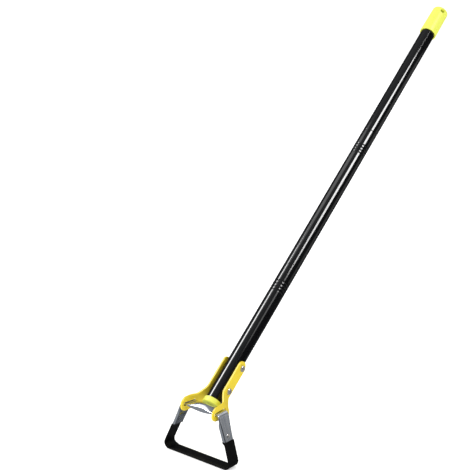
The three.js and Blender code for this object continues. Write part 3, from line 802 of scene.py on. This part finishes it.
def bolt(name, station):
    seat = PLATE_OUTER_X + GAP
    rim, edge = BOLT_HEAD_RIM, BOLT_HEAD_EDGE
    tip_in, tip_up = BOLT_TIP_CHAMFER
    dome = [(BOLT_HEAD_R * math.cos(t), seat + rim + (BOLT_HEAD_H - rim) * math.sin(t))
            for t in spaced(0, math.pi / 2 - 0.03, 16)]
    rings = round((BOLT_TAIL + NUT_T / 2) / BOLT_PITCH * 4)
    threads = [(BOLT_R - (BOLT_THREAD_DEPTH if k % 4 in (1, 2) else 0),
                -BOLT_END_X + tip_up + k * BOLT_PITCH / 4) for k in range(rings)]
    profile = [(0, -BOLT_END_X), (BOLT_R - tip_in, -BOLT_END_X), *threads]
    profile += [(BOLT_R, seat), (BOLT_HEAD_R - edge, seat), (BOLT_HEAD_R, seat + edge), *dome]
    profile += [(0, seat + BOLT_HEAD_H)]
    vertices, faces = lathe(profile, SMALL_ROUND, closed=False)
    return finished(name + "_skin", vertices, faces, on_bolt(station), "lower_handle", name,
                    [STEEL], 45)


def washer(name, station):
    profile = fillet([
        (BOLT_R + GAP, 0, WASHER_EDGE_R),
        (WASHER_R, 0, WASHER_RIM_EDGE_R),
        (WASHER_R, -WASHER_T, WASHER_EDGE_R),
        (BOLT_R + GAP, -WASHER_T, WASHER_EDGE_R),
    ])
    vertices, faces = lathe([(r, h - WASHER_FACE_X) for r, h in profile], SMALL_ROUND)
    return finished(name + "_skin", vertices, faces, on_bolt(station), "lower_handle", name,
                    [STEEL])


def nut(name, station):
    """A hexagon met by a chamfered barrel, with a bore."""
    corner = NUT_FLATS / math.sqrt(3)
    hexagon = lathe([(0, 0), (corner, 0), (corner, -NUT_T), (0, -NUT_T)], 6, closed=False)
    out, into = NUT_BORE_CHAMFER
    barrel = lathe([
        (BOLT_R + GAP + out, 0),
        (corner - NUT_CHAMFER, 0),
        (corner, -NUT_CHAMFER / 2),
        (corner, -NUT_T + NUT_CHAMFER / 2),
        (corner - NUT_CHAMFER, -NUT_T),
        (BOLT_R + GAP + out, -NUT_T),
        (BOLT_R + GAP, -NUT_T + into),
        (BOLT_R + GAP, -into),
    ], SMALL_ROUND)
    place = on_bolt(station) @ Matrix.Translation((0, 0, -NUT_FACE_X))
    mesh = combined(loose(*hexagon, place), loose(*barrel, place), "INTERSECT")
    piece = dressed(name + "_skin", mesh, "lower_handle", name, [STEEL])
    return bevelled(piece, NUT_EDGE_R, 2)


# ------------------------------------------------------------------ stirrup strap
def arm_x(z):
    """Outer face of an arm at a height."""
    return ARM_BASE_X - ARM_SLOPE * z


def strap_half_section(distance):
    """Half the strap's section at a distance from the crossbar's middle, from the middle
    of its outer face round the edge to the middle of its inner face: (width, lift)."""
    crown = max(0, 1 - (distance / CROWN_SPAN) ** 2)
    channel = smoothstep(distance, CHANNEL_FROM, CHANNEL_TO)
    taper = smoothstep(distance, CHANNEL_FROM, TAPER_TO)
    half = STRAP_FLAT_HALF_W - CROWN_NARROW * crown
    half -= (STRAP_FLAT_HALF_W - STRAP_ARM_HALF_W) * taper
    depth = STRAP_T + CROWN_DROP * crown + (STRAP_ARM_DEPTH - STRAP_T) * channel
    flange = depth - STRAP_T
    outer_r = STRAP_EDGE_R + STRAP_CHANNEL_EDGE_R * channel + STRAP_CROWN_EDGE_R * crown
    edge_r = STRAP_FLANGE_EDGE_R
    lip_r = min(STRAP_LIP_R, flange / 3)
    inner_r = min(STRAP_INNER_R, flange / 3)
    inner = half - STRAP_T
    quarter = spaced(0, math.pi / 2, 6)
    points = [(w, 0) for w in spaced(0, half - outer_r, 14)][:-1]
    points += [(half - outer_r * (1 - math.sin(t)), outer_r * (math.cos(t) - 1)) for t in quarter]
    points += [(half - edge_r * (1 - math.cos(t)), edge_r * (1 - math.sin(t)) - depth)
               for t in quarter]
    points += [(inner + lip_r * (1 - math.sin(t)), lip_r * (1 - math.cos(t)) - depth)
               for t in quarter]
    points += [(inner - inner_r * (1 - math.cos(t)), inner_r * (math.sin(t) - 1) - STRAP_T)
               for t in quarter]
    points += [(w, -STRAP_T) for w in spaced(inner - inner_r, 0, 12)][1:]
    lift = CROWN_H * crown
    return [(w, h + lift * (1 - (w / half) ** 2)) for w, h in points]


def swept(places, length, half_section, shear):
    """Vertices, faces and unrolled coordinates of a symmetric section along a path."""
    vertices, unrolled, faces = [], [], []
    for place, along, travelled in places:
        out = Vector((-along.y, along.x))
        half = half_section(travelled - length / 2, place)
        ring = half + [(-w, h) for w, h in reversed(half[1:-1])]
        for w, h in ring:
            spot = place + out * h + along * h * shear(place, along)
            vertices.append((spot.x, w, spot.y))
            unrolled.append(Vector((travelled, w, h)) * MM)
    rows = len(vertices) // len(places)
    for i in range(len(places) - 1):
        for j in range(rows):
            k = (j + 1) % rows
            a, b = i * rows, (i + 1) * rows
            faces.append((a + j, a + k, b + k, b + j))
    faces.append(tuple(range(rows)))
    last = (len(places) - 1) * rows
    faces.append(tuple(last + j for j in reversed(range(rows))))
    return vertices, faces, unrolled


def unrolled_piece(name, vertices, faces, unrolled, node, slot, looks):
    """A piece that carries its unrolled coordinates, for grain that follows its bends."""
    mesh = bpy.data.meshes.new(name)
    mesh.from_pydata([ROW @ Vector(v) for v in vertices], [], faces)
    layer = mesh.attributes.new(UNROLLED, "FLOAT_VECTOR", "POINT")
    layer.data.foreach_set("vector", [n for v in unrolled for n in v])
    return dressed(name, mesh, "stirrup", node, looks)


def level_shear(full_at, none_at):
    """Leans the sections of a sloping arm: level at one height, square to it at the other."""
    def shear(place, along):
        share = 1 - smoothstep(place.y, full_at, none_at)
        return -share * along.x / along.y if share else 0
    return shear


def strap():
    path = fillet([
        (-arm_x(STRAP_END_Z), STRAP_END_Z),
        (-arm_x(STRAP_TOP_Z), STRAP_TOP_Z, STRAP_BEND_R),
        (arm_x(STRAP_TOP_Z), STRAP_TOP_Z, STRAP_BEND_R),
        (arm_x(STRAP_END_Z), STRAP_END_Z),
    ], closed=False, step=math.radians(4))
    places, length = walk(path, 0.8)
    shear = level_shear(STRAP_END_Z, STRAP_END_Z + STRAP_LEVELLING)
    made = swept(places, length, lambda d, _: strap_half_section(abs(d)), shear)
    return unrolled_piece("stirrup_frame_skin", *made, "stirrup_frame", "zinc_plate", [ZINC])


# ------------------------------------------------------------------ blade
STEP_IN = STRAP_T + GAP + BLADE_PROUD  # how far the tongues lie behind the blade's outer face


def blade_half_section(distance, place):
    """Half the blade's section: flat underside, bevelled long edge along the bottom, plain
    on the arms, and a narrow tongue above the shoulder."""
    tongue = place.y > SHOULDER_Z
    half = TONGUE_W / 2 if tongue else BLADE_W / 2
    if not tongue:
        rounding = max(0, place.y - (SHOULDER_Z - SHOULDER_R)) / SHOULDER_R
        half -= SHOULDER_R * (1 - math.sqrt(max(0, 1 - rounding ** 2)))
    bevel = 1 - smoothstep(abs(place.x), BEVEL_HALF_LENGTH - BEVEL_FADE, BEVEL_HALF_LENGTH)
    bevel *= 1 - smoothstep(place.y, *BEVEL_FADE_Z)
    edge = BLADE_T - (BLADE_T - BEVEL_EDGE_T) * bevel
    step_from, step_to = (SHOULDER_Z - below for below in STEP_BELOW_SHOULDER)
    behind = STEP_IN * smoothstep(place.y, step_from, step_to)
    outer = -STEP_IN if tongue else 0
    inner = -BLADE_T - behind
    r = BLADE_EDGE_R
    quarter = spaced(0, math.pi / 2, 4)
    slope_from = half - BEVEL_W * min(1, half / BEVEL_W)
    points = [(w, outer) for w in spaced(0, half - r, 10)][:-1]
    points += [(half - r * (1 - math.sin(t)), outer - r * (1 - math.cos(t))) for t in quarter]
    inner_edge = outer - edge if tongue else -edge - behind
    points += [(half - r * (1 - math.cos(t)), inner_edge + r * (1 - math.sin(t)))
               for t in quarter]
    points += [(w, inner_edge + (inner - inner_edge) * k / 6)
               for k, w in enumerate(spaced(half - r, slope_from, 6))][1:]
    points += [(w, inner) for w in spaced(slope_from, 0, 6)][1:]
    return points


def blade():
    """The outer face is the path. The arms' inner side steps inwards near the shoulder, and
    the tongues above it are plated like the strap."""
    def face_x(z):
        return arm_x(z) + BLADE_PROUD / math.cos(LEAN)

    path = fillet([
        (face_x(TONGUE_TOP_Z), TONGUE_TOP_Z),
        (face_x(0), 0, BLADE_CORNER_R),
        (-face_x(0), 0, BLADE_CORNER_R),
        (-face_x(TONGUE_TOP_Z), TONGUE_TOP_Z),
    ], closed=False, step=math.radians(4))
    places, length = walk(path, 0.9)
    places = with_shoulders(places)
    shear = level_shear(*(SHOULDER_Z - below for below in SHEAR_BELOW_SHOULDER))
    made = swept(places, length, blade_half_section, shear)
    piece = unrolled_piece("blade_skin", *made, "blade", "blade_black", [BLADE, ZINC])
    for face in piece.data.polygons:
        if face.center.z > (SHOULDER_Z + 0.02) * MM:
            face.material_index = 1
    return piece


def with_shoulders(places):
    """Adds a pair of places just under and just over each shoulder."""
    kept = []
    for i, entry in enumerate(places):
        if i:
            before = places[i - 1]
            if (before[0].y - SHOULDER_Z) * (entry[0].y - SHOULDER_Z) < 0:
                t = (SHOULDER_Z - before[0].y) / (entry[0].y - before[0].y)
                for nudge in (-1e-4, 1e-4):
                    share = t + nudge
                    kept.append((before[0].lerp(entry[0], share), entry[1],
                                 before[2] + (entry[2] - before[2]) * share))
        kept.append(entry)
    return kept


# ------------------------------------------------------------------ rivets
def rivet(name, side):
    outer, edge = GAP, RIVET_EDGE
    inner = -(STRAP_T + GAP + BLADE_T + GAP)
    dome = [(RIVET_HEAD_R * math.cos(t), outer + edge + (RIVET_HEAD_H - edge) * math.sin(t))
            for t in spaced(0, math.pi / 2 - 0.05, 10)]
    back = [(RIVET_HEAD_R * math.cos(t), inner - edge - (RIVET_BACK_H - edge) * math.sin(t))
            for t in spaced(math.pi / 2 - 0.05, 0, 10)]
    profile = [(0, inner - RIVET_BACK_H), *back, (RIVET_HEAD_R, inner), (RIVET_R, inner)]
    profile += [(RIVET_R, outer), (RIVET_HEAD_R, outer), *dome, (0, outer + RIVET_HEAD_H)]
    lean = Matrix.Rotation(math.pi / 2 - LEAN, 4, "Y")
    place = Matrix.Translation((arm_x(RIVET_Z), 0, RIVET_Z)) @ lean
    mirror = Matrix.Scale(side, 4, (1, 0, 0))
    vertices, faces = lathe(profile, SMALL_ROUND, closed=False)
    piece = finished(name + "_skin", vertices, faces, ROW @ mirror @ place, "stirrup", name,
                     [STEEL, ZINC], 50)
    face_x = arm_x(RIVET_Z) * MM
    for face in piece.data.polygons:
        if abs(face.center.x) < face_x - STRAP_T * MM:
            face.material_index = 1
    return piece


# ------------------------------------------------------------------ stage
CAMERA_AT = Vector((0.8095, -1.1931, 0.6761))
CAMERA_AZIMUTH = math.radians(33.253)
CAMERA_ELEVATION = math.radians(13.302)
CAMERA_ROLL = math.radians(4.908)
CAMERA_LENS = 81.87
SENSOR_WIDTH = 36
VIEW_DEPTH = 50
FLOOR_RADIUS = 9
FLOOR_SIDES = 96
FLOOR_DROP = 0.0006
FLOOR_GLOW = 0.4
SKY_STRENGTH = 1.2
LIT_SIDE = Vector((-0.8, -0.4, 0.45)).normalized()  # where matt surfaces get most light from
SOFT_DIM, SOFT_BRIGHT = 0.68, 1.42
DARK_SIDE = Vector((0.894, 0.447, 0))  # the direction that polished surfaces see darkest
BACK_LEFT = Vector((-0.75, 0.66, 0))  # they see this direction dark too
MIRRORED_BRIGHT = 0.36
MIRRORED_DIM = 0.04
MIRRORED_GROUND = 0.14
MIRRORED_TINT = (0.93, 0.96, 1)
STRIP_DISTANCE = 2.0
CARD_DISTANCE = 1.7


def camera():
    data = bpy.data.cameras.new("camera")
    data.sensor_width = SENSOR_WIDTH
    data.lens = CAMERA_LENS
    data.clip_end = VIEW_DEPTH
    view = bpy.data.objects.new("camera", data)
    back = Vector((
        math.sin(CAMERA_AZIMUTH) * math.cos(CAMERA_ELEVATION),
        -math.cos(CAMERA_AZIMUTH) * math.cos(CAMERA_ELEVATION),
        math.sin(CAMERA_ELEVATION),
    ))
    right = Vector((math.cos(CAMERA_AZIMUTH), math.sin(CAMERA_AZIMUTH), 0))
    up = back.cross(right)
    turn = Matrix((right, up, back)).transposed().to_4x4()
    view.matrix_world = Matrix.Translation(CAMERA_AT) @ turn @ Matrix.Rotation(CAMERA_ROLL, 4, "Z")
    bpy.context.scene.collection.objects.link(view)
    bpy.context.scene.camera = view


def floor():
    vertices = [(FLOOR_RADIUS * math.cos(t), FLOOR_RADIUS * math.sin(t), -FLOOR_DROP)
                for t in spaced(0, 2 * math.pi, FLOOR_SIDES)[:-1]]
    mesh = bpy.data.meshes.new("floor")
    mesh.from_pydata(vertices, [], [tuple(range(len(vertices)))])
    look = Look("floor", (0.93, 0.93, 0.93), 0.9)
    look.shader.inputs["Emission Color"].default_value = (1, 1, 1, 1)
    look.value("Emission Strength", FLOOR_GLOW)
    mesh.materials.append(look.material)
    thing = bpy.data.objects.new("floor", mesh)
    bpy.context.scene.collection.objects.link(thing)
    thing.visible_glossy = False


def lamp(name, at, aim, size, radiance, shape="ELLIPSE"):
    """A soft box that only shine mirrors, its long side along the handle."""
    data = bpy.data.lights.new(name, "AREA")
    data.shape = shape
    data.size, data.size_y = size
    data.energy = radiance * math.pi * size[0] * size[1]
    if shape == "ELLIPSE":
        data.energy *= math.pi / 4
    thing = bpy.data.objects.new(name, data)
    back = (Vector(at) - Vector(aim)).normalized()
    long = (AXIS - back * AXIS.dot(back)).normalized()
    turn = Matrix((long.cross(back), long, back)).transposed().to_4x4()
    thing.matrix_world = Matrix.Translation(at) @ turn
    thing.visible_diffuse = False
    thing.visible_camera = False
    bpy.context.scene.collection.objects.link(thing)


def strip(name, station, across, size, radiance):
    """A soft box beside the handle: the station of its middle, in metres, and its side."""
    outward = Vector(across)
    outward = (outward - AXIS * outward.dot(AXIS)).normalized()
    aim = FOOT + AXIS * station
    lamp(name, aim + outward * STRIP_DISTANCE, aim, size, radiance)


def daylight():
    """White surroundings for the eye. Matt surfaces get more light from the left, and what
    polished surfaces mirror is dark to the right, dim at the back left, grey elsewhere."""
    world = bpy.data.worlds.new("studio")
    world.use_nodes = True
    nodes, links = world.node_tree.nodes, world.node_tree.links
    toward = nodes.new("ShaderNodeTexCoord").outputs["Generated"]
    rays = nodes.new("ShaderNodeLightPath")

    def graded(direction, low, high, to_low, to_high):
        """Brightness that changes from one side of the sky to the other."""
        share = nodes.new("ShaderNodeVectorMath")
        share.operation = "DOT_PRODUCT"
        share.inputs[1].default_value = direction
        links.new(toward, share.inputs[0])
        spread = nodes.new("ShaderNodeMapRange")
        spread.interpolation_type = "SMOOTHSTEP"
        for socket, number in zip(spread.inputs[1:5], (low, high, to_low, to_high)):
            socket.default_value = number
        links.new(share.outputs["Value"], spread.inputs["Value"])
        return spread.outputs["Result"]

    def background(color, strength):
        node = nodes.new("ShaderNodeBackground")
        node.inputs["Color"].default_value = (*color, 1)
        links.new(strength, node.inputs["Strength"])
        return node.outputs["Background"]

    def chosen(ray, otherwise, shader):
        mix = nodes.new("ShaderNodeMixShader")
        links.new(rays.outputs[ray], mix.inputs["Fac"])
        links.new(otherwise, mix.inputs[1])
        links.new(shader, mix.inputs[2])
        return mix.outputs["Shader"]

    seen = nodes["Background"]
    seen.inputs["Color"].default_value = (1, 1, 1, 1)
    seen.inputs["Strength"].default_value = SKY_STRENGTH
    soft = background((1, 1, 1), graded(LIT_SIDE, -1, 1, SOFT_DIM, SOFT_BRIGHT))
    sides = graded(DARK_SIDE, 0, 0.65, MIRRORED_BRIGHT, MIRRORED_DIM)
    behind = graded(BACK_LEFT, 0.5, 0.85, 1, 0.25)
    dimmed = nodes.new("ShaderNodeMath")
    dimmed.operation = "MULTIPLY"
    links.new(sides, dimmed.inputs[0])
    links.new(behind, dimmed.inputs[1])
    ground = graded((0, 0, 1), -0.45, -0.1, MIRRORED_GROUND, 0)
    brighter = nodes.new("ShaderNodeMath")
    brighter.operation = "MAXIMUM"
    links.new(dimmed.outputs["Value"], brighter.inputs[0])
    links.new(ground, brighter.inputs[1])
    mirrored = background(MIRRORED_TINT, brighter.outputs["Value"])
    shading = chosen("Is Glossy Ray", soft, mirrored)
    everything = chosen("Is Camera Ray", shading, seen.outputs["Background"])
    links.new(everything, nodes["World Output"].inputs["Surface"])
    bpy.context.scene.world = world


def card(name, toward, size, radiance):
    """A soft box as seen from the head, in the direction given."""
    head = Vector((0, 0, 0.07))
    lamp(name, head + Vector(toward).normalized() * CARD_DISTANCE, head, size, radiance, "RECTANGLE")


def lights():
    """Strips for the band along the upper tubes and the thin line along the lower tube,
    each with a faint tail, then cards for the crossbar, the strap's bend and its right arm."""
    right, left = (0.699, -0.479, 0.531), (-0.683, -0.491, 0.546)
    strip("upper_band", 1.83, right, (1.0, 1.17), 22)
    strip("upper_band_tail", 1.26, right, (0.75, 0.75), 2)
    strip("lower_line", 0.78, left, (0.5, 1.2), 22)
    strip("lower_line_tail", 1.28, left, (0.35, 0.75), 0.4)
    card("crossbar_card", (-0.534, 0, 0.848), (1.0, 1.0), 1.6)
    card("bend_card", (0.15, 0.82, 0.55), (0.7, 0.7), 0.7)
    card("arm_card", (0.555, 0.816, 0.177), (0.8, 0.8), 0.38)


# ------------------------------------------------------------------ assembly
seams = [reach("bottom_tube")[1] + GAP / 2, reach("middle_tube")[1] + GAP / 2]
tube("bottom_tube", "lower_handle", seams[0])
tube("middle_tube", "middle_section", seams[1])
tube("top_tube", "top_section")
socket("lower_socket_insert", "lower_handle")
socket("upper_socket_insert", "middle_section")
stud("lower_stud_insert", "middle_section")
stud("upper_stud_insert", "top_section")
top_cap()
bottom_cap()
bracket_plate("right_bracket_plate", 1)
bracket_plate("left_bracket_plate", -1)
for place_name, place_station in BOLT_STATIONS.items():
    bolt(place_name + "_bolt", place_station)
    washer(place_name + "_washer", place_station)
    nut(place_name + "_nut", place_station)
strap()
blade()
rivet("right_rivet", 1)
rivet("left_rivet", -1)

camera()
floor()
daylight()
lights()
bpy.context.scene.view_settings.view_transform = "Standard"
